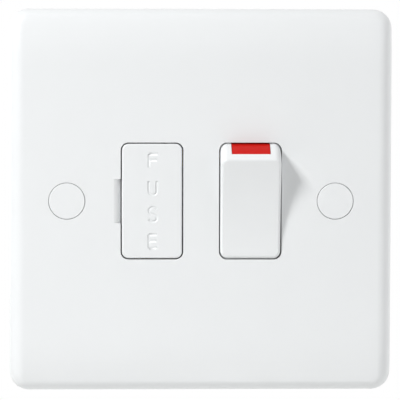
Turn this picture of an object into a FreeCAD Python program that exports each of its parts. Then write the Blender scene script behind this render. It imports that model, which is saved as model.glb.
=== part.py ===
"""Switched fused connection unit, single gang, moulded in white plastic.

A square front plate, crowned and with a rounded rim, carries a pull-out fuse drawer on the left
and a double pole rocker switch on the right, shown switched on. A moulded base behind the plate
holds six pillar terminals and the brass strips that join them to the switch and the fuse clips.

Millimetres. X runs to the right of someone facing the plate, Y into the wall and Z up.
The wall is the plane Y = 0 and the origin lies midway between the two fixing screws.
"""

import FreeCAD, Part
import math
import os

V = FreeCAD.Vector

# Front plate
plate_width = 86.0
plate_height = 86.0
plate_projection = 9.0
plate_skin = 2.2
plate_outline_radius = 4.3
plate_edge_radius = 3.2
crown_width = 11.0
crown_radius = 34.0
fixing_spacing = 60.3
fixing_hole_radius = 2.1
fixing_head_radius = 3.6
fixing_head_depth = 4.4
pillar_wall = 1.7

# Round screw covers
cover_radius = 4.05
cover_thickness = 1.4
cover_skirt_length = 2.0
cover_skirt_wall = 0.8
cover_gap = 0.1

# Openings for the drawer and the rocker
aperture_width = 14.07
fuse_end_room = 0.45
aperture_radius = 1.75
module_offset = 11.05
module_gap = 0.26

# Fuse drawer, fuse and pry slot
fuse_length = 25.4
fuse_cap_radius = 3.175
fuse_cap_length = 5.5
fuse_cap_wall = 0.2
fuse_tube_radius = 2.95
fuse_behind_face = 14.2
drawer_front_thickness = 3.0
drawer_wall = 1.3
drawer_edge_radius = 0.4
cheek_thickness = 1.5
cheek_clip_gap = 0.95
cheek_past_axis = 1.6
runner_thickness = 1.2
runner_length = 8.0
pry_slot_width = 1.6
pry_slot_height = 9.9
pry_slot_radius = 2.5
pry_slot_lead = 0.52
pry_notch_depth = 0.8

# Rocker
rocker_end_gap = 0.34
rocker_pivot_depth = 5.5
rocker_throw = 21.6
rocker_crest_angle = 53.8
rocker_dish = 0.9
rocker_wall = 1.5
rocker_corner_radius = 1.6
rocker_edge_radius = 0.7
trunnion_radius = 1.5
trunnion_length = 1.2
trunnion_clearance = 0.05
bearing_wall = 1.6
bearing_thickness = 1.5
flag_width = 8.6
flag_thickness = 0.9
flag_top_angle = 61.5
flag_bottom_angle = 87.6
flag_gap = 0.08
flag_recess = 0.12

# Sprung plungers inside the rocker
pole_spacing = 6.6
plunger_radius = 1.5
plunger_clearance = 0.05
plunger_tube_wall = 0.75
plunger_reach = 9.0
plunger_length = 6.0
plunger_tube_end = 3.5
spring_length = 6.5
spring_wire = 0.4
spring_turns = 4.0
spring_wire_sides = 6

# Contact arms and contacts
arm_throw = 16.0
arm_bend = 8.0
arm_thickness = 0.8
arm_width = 4.0
arm_corner_radius = 1.0
arm_pivot_radius = 0.5
arm_pivot_ear = 0.7
arm_upper_length = 10.6
arm_lower_length = 6.5
arm_clearance = 0.05
contact_position = 8.8
contact_radius = 1.4
contact_height = 0.7
contact_crown = 0.3
contact_gap = 0.12
cradle_wall = 0.8
cradle_half_height = 1.6
cradle_clearance = 0.05

# Strips and fuse clips
strip_thickness = 1.0
strip_width = 4.0
strip_clearance = 0.15
cross_run_width = 3.2
clip_thickness = 0.6
clip_length = 5.0
clip_clearance = 0.03
clip_jaw_past_axis = 2.4
clip_lip = 1.0

# Pillar terminals
terminal_column = 17.5
terminal_row = 21.0
terminal_width = 7.6
terminal_length = 10.0
terminal_height = 10.0
terminal_bore_radius = 2.4
terminal_bore_roof = 1.5
terminal_screw_radius = 2.0
terminal_screw_length = 7.0
terminal_screw_clearance = 0.05
screw_slot_width = 0.8
screw_slot_depth = 1.0

# Moulded base
base_side_wall = 2.2
base_end_wall = 2.5
base_corner_radius = 3.0
base_rim_chamfer = 0.8
base_floor = 1.8
bay_clearance = 0.3
pocket_clearance = 0.2
wire_entry_radius = 2.9
assembly_column = 8.75
assembly_row = 22.5
assembly_boss_radius = 2.8
assembly_boss_length = 9.0
assembly_web = 2.8
assembly_screw_radius = 1.3
assembly_screw_length = 8.5
assembly_head_radius = 2.7
assembly_head_height = 1.9
assembly_clearance = 0.2

# Places that follow from the sizes
face_y = -plate_projection
skin_back_y = face_y + plate_skin
drawer_x = -module_offset
rocker_x = module_offset
aperture_height = fuse_length + 2 * fuse_end_room
fixing_x = fixing_spacing / 2
cover_seat_y = face_y + cover_thickness
head_seat_y = face_y + fixing_head_depth
fuse_y = face_y + fuse_behind_face
clip_back_y = fuse_y + fuse_cap_radius + bay_clearance
strip_front_y = clip_back_y + clip_thickness
floor_y = strip_front_y + strip_thickness
base_back_y = floor_y + base_floor
pivot_y = face_y + rocker_pivot_depth
on_angle = rocker_throw / 2
rocker_width = aperture_width - 2 * module_gap
rocker_end_radius = math.hypot(aperture_height / 2 - rocker_end_gap, rocker_pivot_depth)
aperture_end_radius = math.hypot(aperture_height / 2, rocker_pivot_depth)
arm_on_angle = arm_throw / 2
arm_half_bend = math.radians(arm_bend)
arm_stand_off = (plunger_radius + arm_clearance + arm_thickness) / math.cos(arm_half_bend)
arm_pivot_y = pivot_y + plunger_reach - plunger_radius + arm_stand_off
live_pole_x = rocker_x - pole_spacing / 2
neutral_pole_x = rocker_x + pole_spacing / 2
clip_z = fuse_length / 2 - fuse_cap_length / 2
cheek_half_length = clip_z - clip_length / 2 - cheek_clip_gap
terminal_front_y = strip_front_y - terminal_height
terminal_bore_y = terminal_front_y + terminal_bore_roof + terminal_bore_radius
terminal_screw_tip_y = terminal_bore_y + terminal_bore_radius + pocket_clearance
base_width = 2 * (terminal_column + terminal_width / 2 + base_side_wall)
base_height = 2 * (terminal_row + terminal_length / 2 + base_end_wall)
boss_end_y = skin_back_y + assembly_boss_length
assembly_seat_y = boss_end_y + assembly_clearance + assembly_web


def box(x0, x1, y0, y1, z0, z1):
    """Block between two corners."""
    return Part.makeBox(x1 - x0, y1 - y0, z1 - z0, V(x0, y0, z0))


def rod_y(x, z, radius, y0, y1):
    """Round bar that runs into the wall."""
    return Part.makeCylinder(radius, y1 - y0, V(x, y0, z), V(0, 1, 0))


def rod_z(x, y, radius, z0, z1):
    """Round bar that stands upright."""
    return Part.makeCylinder(radius, z1 - z0, V(x, y, z0), V(0, 0, 1))


def rod_x(y, z, radius, x0, x1):
    """Round bar that lies across the plate."""
    return Part.makeCylinder(radius, x1 - x0, V(x0, y, z), V(1, 0, 0))


def rounded_block(x, z, width, height, radius, y0, y1):
    """Block with its four edges along Y rounded."""
    block = box(x - width / 2, x + width / 2, y0, y1, z - height / 2, z + height / 2)
    along_y = [e for e in block.Edges if abs(e.tangentAt(e.FirstParameter).y) > 0.5]
    return block.makeFillet(radius, along_y)


def extrude(edges, direction):
    """Closed outline pushed out to a solid."""
    return Part.Face(Part.Wire(edges)).extrude(direction)


def line(a, b):
    return Part.LineSegment(a, b).toShape()


def union(shapes):
    """One solid from several that meet."""
    first, *rest = shapes
    return first.fuse(rest).removeSplitter()


def tilt(shape, y, degrees):
    """Turned about a line across the plate through the height of the origin."""
    turned = shape.copy()
    turned.rotate(V(0, y, 0), V(1, 0, 0), degrees)
    return turned


def crowned_slab(half_width, half_height, inset, front, back):
    """Slab whose flat front rolls off in a wide arc towards its upper and lower ends."""
    flat = half_height + inset - crown_width
    radius = crown_radius - inset
    centre_y = front + radius

    def on_arc(side, z):
        return V(-half_width, centre_y - math.sqrt(radius ** 2 - (z - flat) ** 2), side * z)

    edges = [line(on_arc(-1, flat), on_arc(1, flat)),
             line(V(-half_width, back, -half_height), V(-half_width, back, half_height))]
    for side in (-1, 1):
        middle = (flat + half_height) / 2
        edges.append(Part.Arc(on_arc(side, flat), on_arc(side, middle),
                              on_arc(side, half_height)).toShape())
        edges.append(line(on_arc(side, half_height), V(-half_width, back, side * half_height)))
    outline = Part.Wire(Part.__sortEdges__(edges))
    return Part.Face(outline).extrude(V(2 * half_width, 0, 0))


def pillow(inset, front, back):
    """Square form of the plate with its crowned front, drawn in all round by the inset."""
    half_width, half_height = plate_width / 2 - inset, plate_height / 2 - inset
    outline = rounded_block(0, 0, 2 * half_width, 2 * half_height, plate_outline_radius - inset,
                            front, back)
    return crowned_slab(half_width, half_height, inset, front, back).common(outline)


def with_rounded_rim(form):
    """The plate's form with one radius run along the whole rim of its front."""
    back = form.BoundBox.YMax
    rim = []
    for edge in form.Edges:
        middle = edge.valueAt((edge.FirstParameter + edge.LastParameter) / 2)
        from_sides = min(plate_width / 2 - abs(middle.x), plate_height / 2 - abs(middle.z))
        if from_sides < plate_outline_radius - 0.01 and edge.BoundBox.YMax < back - 0.01:
            rim.append(edge)
    return form.makeFillet(plate_edge_radius, rim)


def disc_about_pivot(width, radius, corner):
    """Wheel-shaped solid about the rocker's pivot line, with its rim corners rounded."""
    half = width / 2
    cut = corner * (1 - math.sqrt(0.5))

    def at(x, r):
        return V(rocker_x + x, pivot_y - r, 0)

    edges = [
        line(at(-half, 0), at(-half, radius - corner)),
        Part.Arc(at(-half, radius - corner), at(-half + cut, radius - cut),
                 at(-half + corner, radius)).toShape(),
        line(at(-half + corner, radius), at(half - corner, radius)),
        Part.Arc(at(half - corner, radius), at(half - cut, radius - cut),
                 at(half, radius - corner)).toShape(),
        line(at(half, radius - corner), at(half, 0)),
        line(at(half, 0), at(-half, 0)),
    ]
    return Part.Face(Part.Wire(edges)).revolve(V(0, pivot_y, 0), V(1, 0, 0), 360)


def bearing(side):
    """Ear behind the plate that the rocker's trunnion snaps into from the back."""
    inner = rocker_x + side * (rocker_width / 2 + module_gap)
    outer = inner + side * bearing_thickness
    x0, x1 = min(inner, outer), max(inner, outer)
    reach = trunnion_radius + bearing_wall
    ear = box(x0, x1, skin_back_y, pivot_y, -reach, reach)
    ear = ear.fuse(rod_x(pivot_y, 0, reach, x0, x1))
    bore = rod_x(pivot_y, 0, trunnion_radius + trunnion_clearance, x0 - 1, x1 + 1)
    mouth_half = trunnion_radius * 0.85
    mouth = box(x0 - 1, x1 + 1, pivot_y, pivot_y + 2 * reach, -mouth_half, mouth_half)
    return ear.cut(bore).cut(mouth)


def front_plate():
    plate = with_rounded_rim(pillow(0, face_y, 0)).cut(pillow(plate_skin, skin_back_y, 1))
    pillar_radius = fixing_head_radius + pillar_wall
    for side in (-1, 1):
        plate = plate.fuse(rod_y(side * fixing_x, 0, pillar_radius, skin_back_y - 0.5, 0))
        for end in (-1, 1):
            boss = rod_y(side * assembly_column, end * assembly_row, assembly_boss_radius,
                         skin_back_y - 0.5, boss_end_y)
            plate = plate.fuse(boss)
        plate = plate.fuse(bearing(side))
    for side in (-1, 1):
        x = side * fixing_x
        plate = plate.cut(rod_y(x, 0, cover_radius + cover_gap, face_y - 1, cover_seat_y))
        plate = plate.cut(rod_y(x, 0, fixing_head_radius, face_y - 1, head_seat_y))
        plate = plate.cut(rod_y(x, 0, fixing_hole_radius, face_y - 1, 1))
        for end in (-1, 1):
            pilot = rod_y(side * assembly_column, end * assembly_row, assembly_screw_radius,
                          skin_back_y + plate_skin, boss_end_y + 1)
            plate = plate.cut(pilot)
    plate = plate.cut(rounded_block(drawer_x, 0, aperture_width, aperture_height,
                                    aperture_radius, face_y - 1, skin_back_y + 1))
    plate = plate.cut(disc_about_pivot(aperture_width, aperture_end_radius, aperture_radius))
    return plate.cut(pry_slot()).removeSplitter()


def pry_slot():
    """Roll-off beside the drawer that lets a screwdriver's blade in under its edge."""
    edge_x = drawer_x - aperture_width / 2
    far_x = edge_x - pry_slot_width
    half = pry_slot_height / 2
    centre_y = face_y + math.sqrt(pry_slot_radius ** 2 - pry_slot_lead ** 2)
    room = box(far_x, edge_x + module_gap, face_y - 1, centre_y, -half, half)
    return room.cut(rod_z(far_x - pry_slot_lead, centre_y, pry_slot_radius, -half - 1, half + 1))


def screw_cover(side):
    """Round cover with a short hollow skirt that plugs the screw's well."""
    x = side * fixing_x
    skirt_radius = fixing_head_radius - cover_gap
    back_y = cover_seat_y + cover_skirt_length
    disc = rod_y(x, 0, cover_radius, face_y, cover_seat_y)
    skirt = rod_y(x, 0, skirt_radius, cover_seat_y, back_y)
    hollow = rod_y(x, 0, skirt_radius - cover_skirt_wall, cover_seat_y, back_y + 1)
    return disc.fuse(skirt).cut(hollow).removeSplitter()


def fuse_drawer():
    """Front block with two cheeks that grip the fuse and two runners that guide it."""
    width = aperture_width - 2 * module_gap
    height = aperture_height - 2 * module_gap
    back_y = face_y + drawer_front_thickness
    corner = aperture_radius - module_gap
    block = rounded_block(drawer_x, 0, width, height, corner, face_y, back_y)
    front_edges = [e for e in block.Edges if e.BoundBox.YMax < face_y + 0.01]
    block = block.makeFillet(drawer_edge_radius, front_edges)
    recess = rounded_block(drawer_x, 0, width - 2 * drawer_wall, height - 2 * drawer_wall,
                           corner / 2, face_y + drawer_wall, back_y + 1)
    pieces = [block.cut(recess)]
    grip_radius = fuse_tube_radius + clip_clearance
    cheek_end_y = fuse_y + cheek_past_axis
    for side in (-1, 1):
        inner = drawer_x + side * (grip_radius - cheek_thickness / 2)
        outer = drawer_x + side * (grip_radius + cheek_thickness)
        pieces.append(box(min(inner, outer), max(inner, outer), face_y + drawer_wall,
                          cheek_end_y, -cheek_half_length, cheek_half_length))
        edge = drawer_x + side * width / 2
        inside = edge - side * runner_thickness
        pieces.append(box(min(edge, inside), max(edge, inside), face_y + drawer_wall,
                          fuse_y, -runner_length / 2, runner_length / 2))
    web = box(drawer_x - width / 2, drawer_x + width / 2,
              fuse_y - fuse_cap_radius - 2 * drawer_wall, fuse_y - fuse_cap_radius - drawer_wall,
              -runner_length / 2, runner_length / 2)
    drawer = union(pieces + [web])
    seat = rod_z(drawer_x, fuse_y, grip_radius, -fuse_length / 2, fuse_length / 2)
    notch_x = drawer_x - width / 2
    notch = box(notch_x - 1, notch_x + pry_notch_depth, face_y + drawer_wall,
                back_y, -pry_slot_height / 2, pry_slot_height / 2)
    return drawer.cut(seat).cut(notch).removeSplitter()


def fuse_tube():
    """Ceramic barrel of the cartridge fuse."""
    half = fuse_length / 2 - 2 * fuse_cap_wall
    return rod_z(drawer_x, fuse_y, fuse_tube_radius, -half, half)


def fuse_end_cap(end):
    """Plated brass cup on one end of the fuse."""
    tip = end * fuse_length / 2
    mouth = tip - end * fuse_cap_length
    inside = end * (fuse_length / 2 - 2 * fuse_cap_wall)
    cap = rod_z(drawer_x, fuse_y, fuse_cap_radius, min(tip, mouth), max(tip, mouth))
    rim = [e for e in cap.Edges if abs(e.BoundBox.ZMin - tip) < 0.01 and e.BoundBox.ZLength < 0.01]
    cap = cap.makeChamfer(fuse_cap_wall, rim)
    open_end = mouth - end
    hollow = rod_z(drawer_x, fuse_y, fuse_tube_radius + clip_clearance / 2,
                   min(inside, open_end), max(inside, open_end))
    return cap.cut(hollow)


def fuse_clip(end):
    """Spring clip with two straight jaws and flared lips, open towards the front."""
    inner = fuse_cap_radius + clip_clearance
    outer = inner + clip_thickness
    lip_y = fuse_y - clip_jaw_past_axis
    tip_y = lip_y - clip_lip
    flare = clip_lip * 0.6
    profile = [(-inner, clip_back_y), (-inner, lip_y), (-inner - flare, tip_y),
               (-outer - flare, tip_y), (-outer, lip_y), (-outer, strip_front_y)]
    mirrored = [(-x, y) for x, y in reversed(profile)]
    z0 = end * clip_z - clip_length / 2
    points = [V(drawer_x + x, y, z0) for x, y in profile + mirrored]
    edges = [line(points[i], points[(i + 1) % len(points)]) for i in range(len(points))]
    return extrude(edges, V(0, 0, clip_length))


def rocker_front_cylinder(behind):
    """Solid in front of the rocker's dished face, moved back by the given wall."""
    crest_y = pivot_y - rocker_end_radius * math.cos(math.radians(rocker_crest_angle))
    half_span = rocker_end_radius * math.sin(math.radians(rocker_crest_angle))
    radius = (half_span ** 2 + rocker_dish ** 2) / (2 * rocker_dish)
    centre_y = crest_y + rocker_dish - radius
    return rod_x(centre_y, 0, radius + behind, rocker_x - rocker_width, rocker_x + rocker_width)


def plunger_tube(x, radius):
    """Round bar from inside the rocker's front to the open end of a plunger tube."""
    front_y = pivot_y + plunger_reach - plunger_length - spring_length
    return rod_y(x, 0, radius, front_y, pivot_y + plunger_tube_end)


def rocker_level():
    """Rocker in its middle position: a dished shell with trunnions and two plunger tubes."""
    reach = rocker_end_radius + 1
    rear = box(rocker_x - rocker_width, rocker_x + rocker_width, pivot_y + trunnion_radius / 3,
               pivot_y + reach, -reach, reach)
    body = disc_about_pivot(rocker_width, rocker_end_radius, rocker_corner_radius)
    body = body.cut(rocker_front_cylinder(0)).cut(rear)
    dished = [f for f in body.Faces if f.Surface.TypeId == "Part::GeomCylinder"
              and f.Surface.Radius > 2 * rocker_end_radius]
    body = body.makeFillet(rocker_edge_radius, dished[0].OuterWire.Edges)
    half = rocker_width / 2
    hollow = rod_x(pivot_y, 0, rocker_end_radius - rocker_wall,
                   rocker_x - half + rocker_wall, rocker_x + half - rocker_wall)
    hollow = hollow.cut(rocker_front_cylinder(rocker_wall))
    shell = body.cut(hollow)
    ear_radius = 2 * trunnion_radius
    extras = []
    for side in (-1, 1):
        inner, edge = rocker_x + side * (half - rocker_wall), rocker_x + side * half
        tip = edge + side * trunnion_length
        extras.append(rod_x(pivot_y, 0, ear_radius, min(inner, edge), max(inner, edge)))
        extras.append(rod_x(pivot_y, 0, trunnion_radius, min(inner, tip), max(inner, tip)))
    bore = plunger_radius + plunger_clearance
    for x in (live_pole_x, neutral_pole_x):
        tube = rod_y(x, 0, bore + plunger_tube_wall, pivot_y - rocker_end_radius,
                     pivot_y + plunger_tube_end)
        extras.append(tube.cut(rocker_front_cylinder(rocker_wall / 2)))
    shell = union([shell] + extras)
    for x in (live_pole_x, neutral_pole_x):
        shell = shell.cut(plunger_tube(x, bore))
    return shell.cut(flag_sector(flag_width, flag_gap, flag_thickness + flag_gap)).removeSplitter()


def flag_sector(width, grow, thickness):
    """Curved block in the rim of the rocker's upper end, between the flag's two angles."""
    outer = rocker_end_radius + (1 if grow else -flag_recess)
    inner = rocker_end_radius - flag_recess - thickness
    spread = math.degrees(grow / rocker_end_radius)
    start = flag_top_angle - spread
    sweep = flag_bottom_angle - flag_top_angle + 2 * spread
    x0 = rocker_x - width / 2 - grow
    ring = Part.makeCylinder(outer, width + 2 * grow, V(x0, pivot_y, 0), V(1, 0, 0))
    ring = ring.cut(Part.makeCylinder(inner, width + 2 * grow, V(x0, pivot_y, 0), V(1, 0, 0)))
    reach = 2 * outer
    first, last = math.radians(start), math.radians(start + sweep)
    points = [V(x0, pivot_y, 0),
              V(x0, pivot_y - reach * math.cos(first), reach * math.sin(first)),
              V(x0, pivot_y - reach * math.cos(last), reach * math.sin(last))]
    edges = [line(points[i], points[(i + 1) % 3]) for i in range(3)]
    return ring.common(extrude(edges, V(width + 2 * grow, 0, 0)))


def plunger(x):
    """Round-nosed plunger, with its nose towards the contact arm."""
    nose_y = pivot_y + plunger_reach - plunger_radius
    shank = rod_y(x, 0, plunger_radius, pivot_y + plunger_reach - plunger_length, nose_y)
    return shank.fuse(Part.makeSphere(plunger_radius, V(x, nose_y, 0))).removeSplitter()


def plunger_spring(x):
    """Compression spring between the tube's blind end and the plunger."""
    radius = plunger_radius - spring_wire
    pitch = (spring_length - 2 * spring_wire) / spring_turns
    height = pitch * spring_turns
    start_y = pivot_y + plunger_reach - plunger_length - spring_length + spring_wire
    helix = Part.makeHelix(pitch, height, radius)
    turns = [2 * math.pi * i / spring_wire_sides for i in range(spring_wire_sides + 1)]
    ring = Part.makePolygon([V(radius + math.cos(a) * spring_wire / 2, 0,
                               math.sin(a) * spring_wire / 2) for a in turns])
    coil = Part.Wire(helix).makePipeShell([ring], True, True)
    coil.rotate(V(0, 0, 0), V(1, 0, 0), -90)
    coil.translate(V(x, start_y, 0))
    return coil


def contact_arm_level(x):
    """Rocking contact arm in its middle position, bent at its pivot so that it opens forwards."""
    lean, rise = math.sin(arm_half_bend), math.cos(arm_half_bend)
    x0 = x - arm_width / 2

    def at(along, forward):
        side = 1 if along > 0 else -1
        return V(x0, arm_pivot_y - abs(along) * lean - forward * rise,
                 along * rise - side * forward * lean)

    points = [V(x0, arm_pivot_y, 0), at(arm_upper_length, 0), at(arm_upper_length, arm_thickness),
              V(x0, arm_pivot_y - arm_thickness / rise, 0),
              at(-arm_lower_length, arm_thickness), at(-arm_lower_length, 0)]
    edges = [line(points[i], points[(i + 1) % 6]) for i in range(6)]
    blade = extrude(edges, V(arm_width, 0, 0))
    ends = [e for e in blade.Edges if abs(e.Length - arm_thickness) < 0.001]
    blade = blade.makeFillet(arm_corner_radius, ends)
    pin = rod_x(arm_pivot_y, 0, arm_pivot_radius, x0 - arm_pivot_ear, x0 + arm_width + arm_pivot_ear)
    return union([blade, pin])


def moving_contact_level(x):
    """Silver contact on the back of the arm's upper half, in its middle position."""
    button = contact_button(x, contact_position, arm_pivot_y, 1)
    return tilt(button, arm_pivot_y, arm_bend)


def contact_button(x, z, y, towards):
    """Domed silver contact standing on a face."""
    top_y = y + towards * contact_height
    dome_radius = (contact_radius ** 2 + contact_crown ** 2) / (2 * contact_crown)
    dome = Part.makeSphere(dome_radius, V(x, top_y - towards * dome_radius, z))
    return rod_y(x, z, contact_radius, min(y, top_y), max(y, top_y)).common(dome)


def fixed_contact_y():
    """Front face of the pad under a fixed contact, so that the two domes just clear."""
    closed = math.radians(arm_on_angle - arm_bend)
    back_at_contact = arm_pivot_y + contact_position * math.sin(closed)
    return back_at_contact + 2 * contact_height + contact_gap


def strip(boxes):
    """Flat strip of brass on the base's floor, from the rectangles that it covers."""
    return union([box(x0, x1, strip_front_y, floor_y, z0, z1) for x0, x1, z0, z1 in boxes])


def tab(x, end):
    """Rectangle of strip under a terminal."""
    half = terminal_width / 2
    inner, outer = terminal_row - terminal_length / 2, terminal_row + terminal_length / 2
    return x - half, x + half, min(end * inner, end * outer), max(end * inner, end * outer)


def screw_hole(x, end):
    """Hole that lets a terminal's screw through."""
    return rod_y(x, end * terminal_row, terminal_screw_radius + pocket_clearance,
                 strip_front_y - 1, base_back_y + 1)


def pole_run(x, z0, z1):
    """Rectangle of strip that runs up or down along one pole."""
    return x - strip_width / 2, x + strip_width / 2, min(z0, z1), max(z0, z1)


def bridge_z():
    """Inner edge of the terminals, where the strips cross to them."""
    return terminal_row - terminal_length / 2


def strip_layout():
    """The rectangles that each strip covers, by name."""
    row = bridge_z()
    pad = strip_width / 2
    turn = row + strip_width / 2
    contact_low = contact_position - pad
    contact_high = contact_position + pad
    clip_half = fuse_cap_radius + clip_clearance + clip_thickness
    return {
        "supply_live": [pole_run(live_pole_x, pad, -turn),
                        (0, live_pole_x + pad, -turn, -turn + cross_run_width), tab(0, -1)],
        "supply_neutral": [pole_run(neutral_pole_x, pad, -turn), tab(terminal_column, -1)],
        "fuse_feed": [(drawer_x - clip_half, live_pole_x + pad, contact_low, contact_high),
                      (drawer_x - clip_half, drawer_x + clip_half,
                       clip_z - clip_length / 2, clip_z + clip_length / 2)],
        "load_live": [(drawer_x - clip_half, drawer_x + clip_half,
                       -clip_z - clip_length / 2, -clip_z + clip_length / 2),
                      pole_run(drawer_x - clip_half + pad, -clip_z, -turn),
                      tab(-terminal_column, -1)],
        "load_neutral": [pole_run(neutral_pole_x, contact_low, turn), tab(terminal_column, 1)],
        "earth": [tab(-terminal_column, 1), tab(0, 1),
                  (-terminal_column, 0, row, row + cross_run_width)],
    }


terminal_places = {
    "supply_live": [(0, -1)],
    "supply_neutral": [(terminal_column, -1)],
    "fuse_feed": [],
    "load_live": [(-terminal_column, -1)],
    "load_neutral": [(terminal_column, 1)],
    "earth": [(-terminal_column, 1), (0, 1)],
}


def finished_strip(name):
    """Strip with its screw holes, and the cradle or the contact pad that stands on it."""
    piece = strip(strip_layout()[name])
    for x, end in terminal_places[name]:
        piece = piece.cut(screw_hole(x, end))
    if name.startswith("supply"):
        pole_x = live_pole_x if name == "supply_live" else neutral_pole_x
        piece = union([piece, cradle(pole_x)])
    if name in ("fuse_feed", "load_neutral"):
        pole_x = live_pole_x if name == "fuse_feed" else neutral_pole_x
        pad = box(pole_x - strip_width / 2, pole_x + strip_width / 2, fixed_contact_y(),
                  strip_front_y, contact_position - strip_width / 2,
                  contact_position + strip_width / 2)
        piece = union([piece, pad])
    return piece


def cradle(x):
    """Flat-topped post between two cheeks, with notches for the round pin that the arm rocks on."""
    half = arm_width / 2 + cradle_clearance
    bore = arm_pivot_radius + cradle_clearance
    post = box(x - half, x + half, arm_pivot_y + bore, strip_front_y,
               -cradle_half_height, cradle_half_height)
    cheeks = []
    for side in (-1, 1):
        inner, outer = x + side * half, x + side * (half + cradle_wall)
        cheeks.append(box(min(inner, outer), max(inner, outer), arm_pivot_y - arm_thickness,
                          strip_front_y, -cradle_half_height, cradle_half_height))
    reach = half + cradle_wall + 1
    notch = rod_x(arm_pivot_y, 0, bore, x - reach, x + reach)
    mouth = box(x - reach, x + reach, arm_pivot_y - 2 * arm_thickness, arm_pivot_y, -bore, bore)
    return union([post] + cheeks).cut(notch).cut(mouth)


def terminal_block(x, end):
    """Brass pillar with an upright bore for the wire and a tapped hole from behind."""
    z = end * terminal_row
    half_w, half_l = terminal_width / 2, terminal_length / 2
    block = box(x - half_w, x + half_w, terminal_front_y, strip_front_y, z - half_l, z + half_l)
    upright = [e for e in block.Edges if abs(e.tangentAt(e.FirstParameter).z) > 0.5
               and e.BoundBox.YMax < strip_front_y - 0.01]
    block = block.makeFillet(terminal_bore_roof, upright)
    bore = rod_z(x, terminal_bore_y, terminal_bore_radius, z - half_l - 1, z + half_l + 1)
    tapped = rod_y(x, z, terminal_screw_radius + terminal_screw_clearance,
                   terminal_bore_y, strip_front_y + 1)
    return block.cut(bore).cut(tapped)


def terminal_screw(x, end):
    """Headless slotted screw, backed off so that its tip clears the bore."""
    z = end * terminal_row
    top_y = terminal_screw_tip_y + terminal_screw_length
    screw = rod_y(x, z, terminal_screw_radius, terminal_screw_tip_y, top_y)
    slot = box(x - terminal_screw_radius, x + terminal_screw_radius, top_y - screw_slot_depth,
               top_y + 1, z - screw_slot_width / 2, z + screw_slot_width / 2)
    return screw.cut(slot)


def assembly_screw(side, end):
    """Pan-head screw that holds the base to a boss of the plate."""
    x, z = side * assembly_column, end * assembly_row
    head = rod_y(x, z, assembly_head_radius, assembly_seat_y, assembly_seat_y + assembly_head_height)
    rim = [e for e in head.Edges if e.BoundBox.YMin > assembly_seat_y + assembly_head_height - 0.01]
    head = head.makeChamfer(assembly_head_height / 3, rim)
    shank = rod_y(x, z, assembly_screw_radius - terminal_screw_clearance,
                  assembly_seat_y - assembly_screw_length, assembly_seat_y)
    slot = box(x - screw_slot_width / 2, x + screw_slot_width / 2,
               assembly_seat_y + assembly_head_height - screw_slot_depth,
               assembly_seat_y + assembly_head_height + 1,
               z - assembly_head_radius, z + assembly_head_radius)
    return head.fuse(shank).cut(slot).removeSplitter()


def rear_base():
    """Moulded base with a bay for the drawer, a bay for the switch and six terminal pockets."""
    base = rounded_block(0, 0, base_width, base_height, base_corner_radius, skin_back_y, base_back_y)
    back_rim = [e for e in base.Edges if e.BoundBox.YMin > base_back_y - 0.01]
    base = base.makeChamfer(base_rim_chamfer, back_rim)
    bay_half = aperture_width / 2 + module_gap
    front_y = skin_back_y - 1
    drawer_bay_half = aperture_height / 2 + bay_clearance
    switch_bay_half = rocker_end_radius + 2 * bay_clearance
    base = base.cut(box(drawer_x - bay_half, drawer_x + bay_half, front_y, floor_y,
                        -drawer_bay_half, drawer_bay_half))
    base = base.cut(box(rocker_x - bay_half, rocker_x + bay_half, front_y, floor_y,
                        -switch_bay_half, switch_bay_half))
    ear_half = trunnion_radius + bearing_wall + bay_clearance
    ear_reach = rocker_width / 2 + module_gap + bearing_thickness + bay_clearance
    base = base.cut(box(rocker_x - ear_reach, rocker_x + ear_reach, front_y,
                        pivot_y + ear_half, -ear_half, ear_half))
    grow = strip_clearance
    for boxes in strip_layout().values():
        for x0, x1, z0, z1 in boxes:
            base = base.cut(box(x0 - grow, x1 + grow, front_y, floor_y, z0 - grow, z1 + grow))
    for places in terminal_places.values():
        for x, end in places:
            base = base.cut(screw_hole(x, end))
            inner, outer = end * terminal_row, end * base_height
            base = base.cut(rod_z(x, terminal_bore_y, wire_entry_radius,
                                  min(inner, outer), max(inner, outer)))
    for side in (-1, 1):
        for end in (-1, 1):
            x, z = side * assembly_column, end * assembly_row
            boss_room = assembly_boss_radius + assembly_clearance
            base = base.cut(rod_y(x, z, boss_room, front_y, boss_end_y + assembly_clearance))
            base = base.cut(rod_y(x, z, assembly_screw_radius + assembly_clearance,
                                  front_y, base_back_y + 1))
            base = base.cut(rod_y(x, z, assembly_head_radius + assembly_clearance,
                                  assembly_seat_y, base_back_y + 1))
    return base.removeSplitter()


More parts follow.
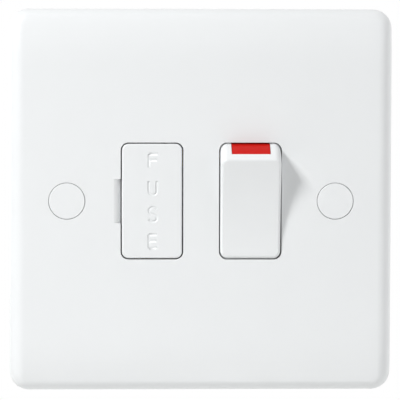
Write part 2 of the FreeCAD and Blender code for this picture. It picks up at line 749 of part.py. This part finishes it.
def build():
    """Every sub-part by its node's name."""
    parts = {
        "front_plate": front_plate(),
        "rear_base": rear_base(),
        "fuse_drawer": fuse_drawer(),
        "fuse_tube": fuse_tube(),
        "fuse_cap_upper": fuse_end_cap(1),
        "fuse_cap_lower": fuse_end_cap(-1),
        "fuse_clip_upper": fuse_clip(1),
        "fuse_clip_lower": fuse_clip(-1),
        "rocker": tilt(rocker_level(), pivot_y, on_angle),
        "rocker_flag": tilt(flag_sector(flag_width, 0, flag_thickness), pivot_y, on_angle),
        "screw_cover_left": screw_cover(-1),
        "screw_cover_right": screw_cover(1),
    }
    for pole, x in (("live", live_pole_x), ("neutral", neutral_pole_x)):
        parts[pole + "_plunger"] = tilt(plunger(x), pivot_y, on_angle)
        parts[pole + "_spring"] = tilt(plunger_spring(x), pivot_y, on_angle)
        parts[pole + "_arm"] = tilt(contact_arm_level(x), arm_pivot_y, -arm_on_angle)
        moving = moving_contact_level(x)
        parts[pole + "_moving_contact"] = tilt(moving, arm_pivot_y, -arm_on_angle)
        parts[pole + "_fixed_contact"] = contact_button(x, contact_position, fixed_contact_y(), -1)
    for name in strip_layout():
        parts[name + "_strip"] = finished_strip(name)
    for name, places in terminal_places.items():
        for x, end in places:
            label = name if len(places) == 1 else name + ("_left" if x < 0 else "_centre")
            parts[label + "_terminal"] = terminal_block(x, end)
    parts["terminal_screws"] = Part.makeCompound(
        [terminal_screw(x, end) for places in terminal_places.values() for x, end in places])
    parts["assembly_screws"] = Part.makeCompound(
        [assembly_screw(side, end) for side in (-1, 1) for end in (-1, 1)])
    return parts


def main():
    os.makedirs("parts", exist_ok=True)
    for node, shape in build().items():
        shape.exportStep("parts/" + node + ".step")
        print(f"{node:24s} solids {len(shape.Solids)}  valid {shape.isValid()}  volume {shape.Volume:.2f}")


main()
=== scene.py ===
"""Switched fused connection unit in white moulded plastic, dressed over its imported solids.

The unit is followed in the order in which it is put together: the terminals and strips go into
the base, the switch and the fuse go in, the plate goes on, and then the lamps and the camera.
"""
import math

import bmesh
import bpy
from mathutils import Matrix, Vector


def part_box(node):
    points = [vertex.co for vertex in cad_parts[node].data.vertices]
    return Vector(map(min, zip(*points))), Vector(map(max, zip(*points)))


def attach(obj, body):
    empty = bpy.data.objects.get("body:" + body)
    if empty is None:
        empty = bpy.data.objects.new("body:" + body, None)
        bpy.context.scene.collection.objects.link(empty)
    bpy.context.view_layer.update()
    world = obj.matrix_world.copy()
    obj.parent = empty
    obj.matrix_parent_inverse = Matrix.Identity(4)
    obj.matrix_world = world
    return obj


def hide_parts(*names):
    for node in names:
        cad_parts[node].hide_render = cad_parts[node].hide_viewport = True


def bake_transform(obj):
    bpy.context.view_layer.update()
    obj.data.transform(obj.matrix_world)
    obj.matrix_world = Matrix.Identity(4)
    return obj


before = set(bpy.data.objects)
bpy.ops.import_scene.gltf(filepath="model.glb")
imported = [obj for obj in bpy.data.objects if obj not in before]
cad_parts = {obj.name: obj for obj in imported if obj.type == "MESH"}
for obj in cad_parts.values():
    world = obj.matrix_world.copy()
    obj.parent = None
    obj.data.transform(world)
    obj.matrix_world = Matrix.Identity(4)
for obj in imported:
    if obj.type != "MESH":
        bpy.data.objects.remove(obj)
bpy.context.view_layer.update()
MM = 0.001

# PILLAR TERMINALS
# Six blocks sawn from extruded brass bar, bored across for the wire and tapped from behind for
# the clamp screw. The sawn and drilled faces are left bright and turn a little brown with time.


def linear(code):
    """Linear colour, with alpha, of an sRGB hex code."""
    parts = [int(code[i:i + 2], 16) / 255 for i in (0, 2, 4)]
    return (*(c / 12.92 if c <= 0.04045 else ((c + 0.055) / 1.055) ** 2.4 for c in parts), 1.0)


def add_node(tree, kind, inputs=(), **settings):
    """Node with its settings, whose inputs are values or the sockets that feed them."""
    node = tree.nodes.new(kind)
    for name, value in settings.items():
        setattr(node, name, value)
    for name, value in dict(inputs).items():
        if isinstance(value, bpy.types.NodeSocket):
            tree.links.new(value, node.inputs[name])
        else:
            node.inputs[name].default_value = value
    return node


def new_material(name):
    """Empty material and its tree."""
    material = bpy.data.materials.new(name)
    material.use_nodes = True
    material.node_tree.nodes.clear()
    return material, material.node_tree


def metal(name, bright, dull, roughness, grain, along, patch=4.0):
    """Metal drawn or sawn along an axis, with fine lines a grain wide and soft duller patches.

    The widths of the lines and of the patches are in millimetres.
    """
    line_length = 30.0  # in line widths
    line_depth = 0.02
    material, tree = new_material(name)
    place = add_node(tree, "ShaderNodeTexCoord").outputs["Object"]
    stretch = [1.0 if axis == along else line_length for axis in "XYZ"]
    lines = add_node(tree, "ShaderNodeMapping", {"Vector": place, "Scale": stretch})
    scratch = add_node(tree, "ShaderNodeTexNoise",
                       {"Vector": lines.outputs[0], "Scale": 1 / (grain * line_length * MM),
                        "Detail": 3.0})
    cloud = add_node(tree, "ShaderNodeTexNoise",
                     {"Vector": place, "Scale": 1 / (patch * MM), "Detail": 4.0, "Roughness": 0.6})
    share = add_node(tree, "ShaderNodeMapRange",
                     {"Value": cloud.outputs[0], "From Min": 0.38, "From Max": 0.72})
    colour = add_node(tree, "ShaderNodeMix",
                      {"Factor": share.outputs[0], "A": linear(bright), "B": linear(dull)},
                      data_type="RGBA")
    rough = add_node(tree, "ShaderNodeMapRange",
                     {"Value": scratch.outputs[0],
                      "To Min": roughness * 0.75, "To Max": roughness * 1.35})
    bump = add_node(tree, "ShaderNodeBump",
                    {"Height": scratch.outputs[0], "Strength": 0.25, "Distance": line_depth * MM})
    shader = add_node(tree, "ShaderNodeBsdfPrincipled",
                      {"Base Color": colour.outputs[2], "Metallic": 1.0,
                       "Roughness": rough.outputs[0], "Normal": bump.outputs[0]})
    add_node(tree, "ShaderNodeOutputMaterial", {"Surface": shader.outputs[0]})
    return material


def coat(mesh, material):
    """Give a mesh one material all over."""
    mesh.materials.clear()
    mesh.materials.append(material)


def dress(nodes, material):
    """Give CAD nodes that stay as they are a material."""
    for name in nodes:
        coat(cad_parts[name].data, material)


# sawn brass bar: yellow and bright on the cuts, with straight saw lines across
sawn_brass = metal("sawn_brass", "E2C27A", "B08A4A", roughness=0.30, grain=0.12, along="X")
dress([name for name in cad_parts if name.endswith("_terminal")], sawn_brass)

# BRASS STRIPS AND FUSE CLIPS
# The strips are pressed from half-hard sheet and lie on the base's floor, each under its own
# terminal. The two clips are sprung brass, pressed and folded, with flared lips for the fuse.

# rolled brass sheet: a long soft grain from the rolls and a smooth, warmer yellow
rolled_brass = metal("rolled_brass", "DDBB72", "A9823F", roughness=0.26, grain=0.20, along="Z")
dress([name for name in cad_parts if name.endswith("_strip")], rolled_brass)
# spring brass, dipped bright: cleaner and shinier than the strips
bright_brass = metal("bright_dipped_brass", "EBCF8C", "C9A765", roughness=0.18, grain=0.10,
                     along="Z")
dress(["fuse_clip_upper", "fuse_clip_lower"], bright_brass)

# CONTACT ARMS AND CONTACTS
# Two bent arms of the same rolled sheet rock on their pins. Their silver alloy contacts are
# riveted on, and meet two more that stand on the fixed strips.
dress(["live_arm", "neutral_arm"], rolled_brass)
# silver alloy: near white, faintly pitted where it makes and breaks
silver = metal("silver_alloy", "EDEDEA", "B9B6AE", roughness=0.22, grain=0.08, along="X", patch=1.2)
dress([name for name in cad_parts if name.endswith("_contact")], silver)

# TERMINAL AND ASSEMBLY SCREWS
# Six slotted steel screws clamp the wires and four more hold the base to the plate. Their
# threads are rolled on, and they are zinc plated, which leaves a pale bluish silver skin.


def new_object(name, data):
    """Object in the scene, at the origin."""
    made = bpy.data.objects.new(name, data)
    bpy.context.scene.collection.objects.link(made)
    return made


def thread_tree():
    """Ridge wound round each place of a grid, along Y, for the threads of a set of screws."""
    tree = bpy.data.node_groups.new("rolled_threads", "GeometryNodeTree")
    sockets = (("Across", "Float"), ("Up", "Float"), ("Columns", "Int"), ("Rows", "Int"),
               ("Start", "Float"), ("Length", "Float"), ("Radius", "Float"), ("Depth", "Float"),
               ("Pitch", "Float"), ("Plating", "Material"))
    for name, kind in sockets:
        tree.interface.new_socket(name, in_out="INPUT", socket_type="NodeSocket" + kind)
    tree.interface.new_socket("Threads", in_out="OUTPUT", socket_type="NodeSocketGeometry")
    sizes = add_node(tree, "NodeGroupInput").outputs
    grid = add_node(tree, "GeometryNodeMeshGrid",
                    {"Size X": sizes["Across"], "Size Y": sizes["Up"],
                     "Vertices X": sizes["Columns"], "Vertices Y": sizes["Rows"]})
    start = add_node(tree, "ShaderNodeCombineXYZ", {"Y": sizes["Start"]})
    places = add_node(tree, "GeometryNodeTransform",
                      {"Geometry": grid.outputs["Mesh"], "Translation": start.outputs[0],
                       "Rotation": (math.pi / 2, 0, 0)})
    turns = add_node(tree, "ShaderNodeMath", {0: sizes["Length"], 1: sizes["Pitch"]},
                     operation="DIVIDE")
    path = add_node(tree, "GeometryNodeCurveSpiral",
                    {"Resolution": 20, "Rotations": turns.outputs[0],
                     "Start Radius": sizes["Radius"], "End Radius": sizes["Radius"],
                     "Height": sizes["Length"]})
    ridge = add_node(tree, "GeometryNodeCurvePrimitiveCircle",
                     {"Resolution": 4, "Radius": sizes["Depth"]})
    wound = add_node(tree, "GeometryNodeCurveToMesh",
                     {"Curve": path.outputs[0], "Profile Curve": ridge.outputs[0],
                      "Fill Caps": True})
    set_out = add_node(tree, "GeometryNodeInstanceOnPoints",
                       {"Points": places.outputs[0], "Instance": wound.outputs[0],
                        "Rotation": (-math.pi / 2, 0, 0)})
    real = add_node(tree, "GeometryNodeRealizeInstances", {"Geometry": set_out.outputs[0]})
    plated = add_node(tree, "GeometryNodeSetMaterial",
                      {"Geometry": real.outputs[0], "Material": sizes["Plating"]})
    add_node(tree, "NodeGroupOutput", {"Threads": plated.outputs[0]})
    return tree


def grown_mesh(name, tree, sizes):
    """Plain mesh of what a tree makes with the given sizes."""
    holder = new_object(name, bpy.data.meshes.new(name))
    maker = holder.modifiers.new(name, "NODES")
    maker.node_group = tree
    for socket in tree.interface.items_tree:
        if socket.in_out == "INPUT":
            maker[socket.identifier] = sizes[socket.name]
    grown = holder.evaluated_get(bpy.context.evaluated_depsgraph_get())
    mesh = bpy.data.meshes.new_from_object(grown)
    bpy.data.objects.remove(holder)
    return mesh


def round_openings(bm, radius, cuts):
    """Round the edges of the openings in a flat front, and give the numbers of the new edges.

    Cuts are planes across X or Z that divide long strips, so that what they meet at their ends
    bends their shading no further than that. Lengths are in millimetres and angles in degrees.
    """
    front_slack = 0.001
    flat_angle = 0.3
    opening_angle = 30.0
    front = min(vert.co.y for vert in bm.verts) + front_slack * MM
    bmesh.ops.dissolve_limit(bm, angle_limit=math.radians(flat_angle), verts=bm.verts,
                             edges=bm.edges)
    rim = [edge for edge in bm.edges if all(vert.co.y < front for vert in edge.verts)
           and edge.is_manifold and edge.calc_face_angle() > math.radians(opening_angle)]
    made = bmesh.ops.bevel(bm, geom=rim, offset=radius * MM, segments=3, profile=0.5,
                           affect="EDGES", clamp_overlap=True)
    for axis, place in cuts:
        across = Vector(1.0 if letter == axis else 0.0 for letter in "XYZ")
        bmesh.ops.bisect_plane(bm, geom=bm.verts[:] + bm.edges[:] + bm.faces[:],
                               plane_co=across * place * MM, plane_no=across)
    bm.edges.index_update()
    return {edge.index for face in made["faces"] if face.is_valid for edge in face.edges}


def smooth_copy(node, name, crease=32.0, rim_radius=0.0, cuts=(), added=None):
    """Merged copy of a CAD node's mesh, smooth over its curves and creased at sharper angles.

    With a rim radius, the edges of the openings in its flat front are rounded as well, and
    divided by the cuts. An added mesh becomes part of the copy.
    """
    weld_gap = 0.002
    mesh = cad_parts[node].data.copy()
    mesh.name = name
    if "custom_normal" in mesh.attributes:
        mesh.attributes.remove(mesh.attributes["custom_normal"])
    bm = bmesh.new()
    bm.from_mesh(mesh)
    if added:
        bm.from_mesh(added)
    bmesh.ops.remove_doubles(bm, verts=bm.verts, dist=weld_gap * MM)
    rounded = round_openings(bm, rim_radius, cuts) if rim_radius else ()
    bm.to_mesh(mesh)
    bm.free()
    mesh.shade_smooth()
    mesh.set_sharp_from_angle(angle=math.radians(crease))
    sharp = mesh.attributes["sharp_edge"].data
    for index in rounded:
        sharp[index].value = False
    piece = new_object(name, mesh)
    weigh = piece.modifiers.new("even_faces", "WEIGHTED_NORMAL")
    weigh.keep_sharp = True
    weigh.weight = 80
    return piece


def stand_for(piece, node, body, material):
    """Let a piece take a CAD node's place on its body."""
    coat(piece.data, material)
    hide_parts(node)
    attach(piece, body)


# zinc plate on steel: cool grey and satin, with lines for its turned rings, which are finer
zinc_plate = metal("zinc_plated_steel", "D5D9DC", "A9AEB2", roughness=0.32, grain=0.10, along="Y",
                   patch=2.0)
threads = thread_tree()
screw_rows = 2
bare_end = 0.4
# columns of screws, widest radius, height of the head, and the thread's centre, depth and pitch
screw_sets = {
    "terminal_screws": ("clamp_screws", 3, 2.0, 1.0, 1.92, 0.13, 0.7),
    "assembly_screws": ("base_screws", 2, 2.7, 1.9, 1.25, 0.17, 1.1),
}
for node, (name, columns, widest, head, centre, depth, pitch) in screw_sets.items():
    low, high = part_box(node)
    thread = grown_mesh(name + "_thread", threads, {
        "Across": high.x - low.x - 2 * widest * MM, "Up": high.z - low.z - 2 * widest * MM,
        "Columns": columns, "Rows": screw_rows, "Start": low.y + bare_end * MM,
        "Length": high.y - low.y - head * MM - 2 * bare_end * MM, "Radius": centre * MM,
        "Depth": depth * MM, "Pitch": pitch * MM, "Plating": zinc_plate})
    stand_for(smooth_copy(node, name, added=thread), node, "housing", zinc_plate)

# BASE MOULDING
# A deep box of grey-white thermoset that holds every live part. It is pressed in a textured
# tool, so it is duller than the plate, with a faint grain.


def moulding(name, colour, shade, roughness, grain, depth, gloss_index=1.54, gloss=0.5):
    """Moulded plastic with faint flow clouds and the grain that its tool leaves.

    The grain's width and depth are in millimetres.
    """
    flow_width = 14.0
    material, tree = new_material(name)
    place = add_node(tree, "ShaderNodeTexCoord").outputs["Object"]
    cloud = add_node(tree, "ShaderNodeTexNoise",
                     {"Vector": place, "Scale": 1 / (flow_width * MM), "Detail": 2.0,
                      "Roughness": 0.5})
    tint = add_node(tree, "ShaderNodeMix",
                    {"Factor": cloud.outputs[0], "A": linear(colour), "B": linear(shade)},
                    data_type="RGBA")
    speck = add_node(tree, "ShaderNodeTexNoise",
                     {"Vector": place, "Scale": 1 / (grain * MM), "Detail": 3.0,
                      "Roughness": 0.55})
    rough = add_node(tree, "ShaderNodeMapRange",
                     {"Value": speck.outputs[0],
                      "To Min": roughness * 0.85, "To Max": roughness * 1.15})
    bump = add_node(tree, "ShaderNodeBump",
                    {"Height": speck.outputs[0], "Strength": 0.35, "Distance": depth * MM})
    shader = add_node(tree, "ShaderNodeBsdfPrincipled",
                      {"Base Color": tint.outputs[2], "Roughness": rough.outputs[0],
                       "IOR": gloss_index, "Specular IOR Level": gloss, "Normal": bump.outputs[0]})
    add_node(tree, "ShaderNodeOutputMaterial", {"Surface": shader.outputs[0]})
    return material


# thermoset in a spark-eroded tool: matt, slightly warm, with a fine even grain
base_thermoset = moulding("matt_thermoset", "DDDBD4", "D3D1C9", roughness=0.55, grain=0.35,
                          depth=0.03)
dress(["rear_base"], base_thermoset)

# PLUNGERS AND SPRINGS
# Two nylon plungers slide in the rocker's tubes, each pushed by a small coil of steel wire. A
# coil stands in its tube with its front end and closes up as its plunger goes in.

# natural nylon: milky, smooth from the tool
nylon = moulding("natural_nylon", "E9E5D8", "E1DCCB", roughness=0.40, grain=0.30, depth=0.01,
                 gloss_index=1.53)
dress(["live_plunger", "neutral_plunger"], nylon)
# drawn spring wire: dark bright steel with lines along the wire
spring_wire = metal("drawn_spring_wire", "C9CBCD", "8E9093", roughness=0.24, grain=0.05,
                    along="Y", patch=1.0)
coil_crease = 75.0
for pole in ("live", "neutral"):
    coil = smooth_copy(pole + "_spring", pole + "_coil", coil_crease)
    coat(coil.data, spring_wire)
    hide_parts(pole + "_spring")
    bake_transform(coil)

# CARTRIDGE FUSE
# A ceramic tube with a plated brass cup crimped on each end. The drawer carries it, and the two
# clips grip its cups when the drawer is shut.

# steatite ceramic: off-white, unglazed, with a very fine tooth
ceramic = moulding("unglazed_steatite", "EFE9DC", "E6DFD0", roughness=0.50, grain=0.20,
                   depth=0.01, gloss_index=1.60)
dress(["fuse_tube"], ceramic)
# nickel plate over drawn brass: warm silver, bright
nickel = metal("nickel_plated_cup", "D9D4C8", "B8B2A4", roughness=0.20, grain=0.08, along="Z",
               patch=1.5)
dress(["fuse_cap_upper", "fuse_cap_lower"], nickel)

# FRONT PLATE
# One compression moulding in white urea, open behind, with a rounded rim and polished faces.
# It carries the screw wells, the drawer's opening, the rocker's opening and the pry slot.

# white urea, compression moulded in a polished tool: glossy but soft, very slightly wavy
white_urea = moulding("polished_white_urea", "E1E3E4", "DFE1E2", roughness=0.30, grain=0.9,
                      depth=0.004)
plate_crease = 35.0
softened_edge = 0.15
# the long flat strips are divided where the corners begin, in millimetres from the middle
cut_places = {"X": (36.0, 38.4), "Z": (31.6, 36.0, 38.4)}
corner_cuts = [(axis, side * place) for axis, places in cut_places.items()
               for place in places for side in (-1, 1)]
plate = smooth_copy("front_plate", "plate_moulding", plate_crease, softened_edge, corner_cuts)
stand_for(plate, "front_plate", "housing", white_urea)

# ROCKER AND ITS RED FLAG
# A dished hollow moulding that snaps into the plate from behind. A red insert in its upper end
# face shows only while the switch is on.
rocker = smooth_copy("rocker", "rocker_moulding")
stand_for(rocker, "rocker", "rocker", white_urea)
# red polycarbonate insert: deep and saturated, with little sheen from its fine tool grain
red_insert = moulding("red_polycarbonate", "C1130A", "BA1109", roughness=0.45, grain=0.5,
                      depth=0.003, gloss_index=1.58, gloss=0.15)
flag = smooth_copy("rocker_flag", "rocker_red_flag")
stand_for(flag, "rocker_flag", "rocker", red_insert)

# FUSE DRAWER
# A moulded front block with cheeks that grip the fuse. Its front has the word for what is
# inside, cut in plain block capitals one above the other.
letter_column = -10.87
letter_pitch = 6.03
letter_half_height = 1.50
groove_radius = 0.42
groove_depth = 0.20
stroke_weld_gap = 0.001
# the middle line of each stroke, from the letter's own centre: millimetres across, half heights up
letter_strokes = {
    "F": [[(-0.88, -1), (-0.88, 1)], [(-0.88, 1), (1.17, 1)], [(-0.88, 0.10), (0.95, 0.10)]],
    "U": [[(-0.88, 1), (-0.88, 0.1), (-0.88, -0.9), (0, -1.14), (0.88, -0.9), (0.88, 0.1),
           (0.88, 1)]],
    "S": [[(0.85, 0.72), (0.60, 1), (-0.20, 1.08), (-0.85, 0.85), (-0.85, 0.25), (0.0, 0.02),
           (0.85, -0.22), (0.92, -0.85), (0.20, -1.08), (-0.55, -1.02), (-0.92, -0.72)]],
    "E": [[(-0.88, -1), (-0.88, 1)], [(-0.88, 1), (1.0, 1)], [(-0.88, 0.04), (0.85, 0.04)],
          [(-0.88, -1), (1.0, -1)]],
}


def groove_cutter(points, centre_z, face_y):
    """Round bar along one stroke, whose underside leaves a soft groove in a face."""
    bar = bpy.data.curves.new("stroke", "CURVE")
    bar.dimensions = "3D"
    bar.bevel_depth = groove_radius * MM
    bar.bevel_resolution = 5
    bar.use_fill_caps = True
    spline = bar.splines.new("NURBS" if len(points) > 2 else "POLY")
    spline.points.add(len(points) - 1)
    for point, (across, up) in zip(spline.points, points):
        point.co = ((letter_column + across) * MM, face_y - (groove_radius - groove_depth) * MM,
                    (centre_z + up * letter_half_height) * MM, 1)
    if len(points) > 2:
        spline.order_u = 3
        spline.use_endpoint_u = True
        spline.resolution_u = 6
    holder = new_object("stroke", bar)
    mesh = bpy.data.meshes.new_from_object(holder)
    bpy.data.objects.remove(holder)
    bm = bmesh.new()
    bm.from_mesh(mesh)
    bmesh.ops.remove_doubles(bm, verts=bm.verts, dist=stroke_weld_gap * MM)
    bm.to_mesh(mesh)
    bm.free()
    return new_object("stroke", mesh)


drawer = smooth_copy("fuse_drawer", "drawer_moulding")
drawer_face_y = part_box("fuse_drawer")[0].y
word = "FUSE"
cutters = [groove_cutter(stroke, ((len(word) - 1) / 2 - row) * letter_pitch, drawer_face_y)
           for row, letter in enumerate(word) for stroke in letter_strokes[letter]]
for cutter in cutters:
    cut = drawer.modifiers.new("cut_letter", "BOOLEAN")
    cut.operation = "DIFFERENCE"
    cut.solver = "EXACT"
    cut.object = cutter
    with bpy.context.temp_override(object=drawer, active_object=drawer):
        bpy.ops.object.modifier_move_to_index(modifier=cut.name, index=0)
        bpy.ops.object.modifier_apply(modifier=cut.name)
    bpy.data.objects.remove(cutter)
stand_for(drawer, "fuse_drawer", "fuse_drawer", white_urea)

# SCREW COVERS
# Two small round plugs of the same white urea that hide the fixing screws. Each is a push fit
# in its well, and its edge is softened as the openings' edges are.
for side in ("left", "right"):
    node = "screw_cover_" + side
    cover = smooth_copy(node, "round_cover_" + side, rim_radius=softened_edge)
    stand_for(cover, node, side + "_cover", white_urea)

# LAMPS, FLOOR AND BACKGROUND
# A soft lamp at the upper left gives the rocker its shadow, and a pale surround that is bright
# on the right fills it. The floor lies low, out of the camera's view.
surround_left = 0.05
surround_right = 1.60
floor_drop = 0.15
floor_half = 0.45

# place, width and power: the low lamp lightens the bottom rim, and the back lamp what is behind
lamps = {
    "key_lamp": ((-0.593, -0.439, 0.514), 0.245, 8.25),
    "low_lamp": ((0.030, -0.120, -0.135), 0.12, 0.022),
    "back_lamp": ((-0.350, 0.600, 0.120), 0.40, 1.0),
}
for name, (place, width, power) in lamps.items():
    lamp = bpy.data.lights.new(name, "AREA")
    lamp.shape = "DISK"
    lamp.size = width
    lamp.energy = power
    holder = new_object(name, lamp)
    holder.location = place
    holder.rotation_euler = (-Vector(place)).to_track_quat("-Z", "Y").to_euler()
    holder.visible_camera = False

world = bpy.data.worlds.new("pale_surround")
bpy.context.scene.world = world
world.use_nodes = True
surround = world.node_tree
surround.nodes.clear()
direction = add_node(surround, "ShaderNodeTexCoord")
sides = add_node(surround, "ShaderNodeSeparateXYZ", {0: direction.outputs["Generated"]})
fill = add_node(surround, "ShaderNodeMapRange",
                {"Value": sides.outputs["X"], "To Min": surround_left, "To Max": surround_right})
ray = add_node(surround, "ShaderNodeLightPath")
seen_or_mirrored = add_node(surround, "ShaderNodeMath",
                            {0: ray.outputs["Is Camera Ray"], 1: ray.outputs["Is Glossy Ray"]},
                            operation="MAXIMUM")
plain_white = add_node(surround, "ShaderNodeMath",
                       {0: seen_or_mirrored.outputs[0], 1: ray.outputs["Is Transmission Ray"]},
                       operation="MAXIMUM")
level = add_node(surround, "ShaderNodeMapRange",
                 {"Value": plain_white.outputs[0], "To Min": fill.outputs[0], "To Max": 1.0})
backdrop = add_node(surround, "ShaderNodeBackground",
                    {"Color": (1, 1, 1, 1), "Strength": level.outputs[0]})
add_node(surround, "ShaderNodeOutputWorld", {"Surface": backdrop.outputs[0]})

floor_mesh = bpy.data.meshes.new("floor")
floor_mesh.from_pydata([(x * floor_half, y * floor_half, -floor_drop)
                        for x, y in ((-1, -1), (1, -1), (1, 1), (-1, 1))], [], [(0, 1, 2, 3)])
floor = new_object("floor", floor_mesh)
floor_paint, floor_tree = new_material("pale_floor")
matt_white = add_node(floor_tree, "ShaderNodeBsdfPrincipled",
                      {"Base Color": linear("F4F4F3"), "Roughness": 0.8})
add_node(floor_tree, "ShaderNodeOutputMaterial", {"Surface": matt_white.outputs[0]})
coat(floor_mesh, floor_paint)

# CAMERA
# It stands 0.7 m in front of the unit, a little to the left of it and above it, and looks
# slightly down. Its turns are in radians and its lens in millimetres.
camera_place = Vector((-26.3, -700.0, 48.0)) * MM
camera_tilt = -0.06894
camera_pan = -0.03765
camera_roll = -0.0026
camera_lens = 277.9
nearest_seen = 0.05
camera = bpy.data.cameras.new("camera")
camera.lens = camera_lens
camera.clip_start = nearest_seen
view_point = new_object("camera", camera)
view_point.matrix_world = (Matrix.Translation(camera_place)
                           @ Matrix.Rotation(camera_pan, 4, "Z")
                           @ Matrix.Rotation(camera_tilt, 4, "X")
                           @ Matrix.Rotation(camera_roll, 4, "Y")
                           @ Matrix.Rotation(math.pi / 2, 4, "X"))
bpy.context.scene.camera = view_point
bpy.context.scene.view_settings.view_transform = "Standard"
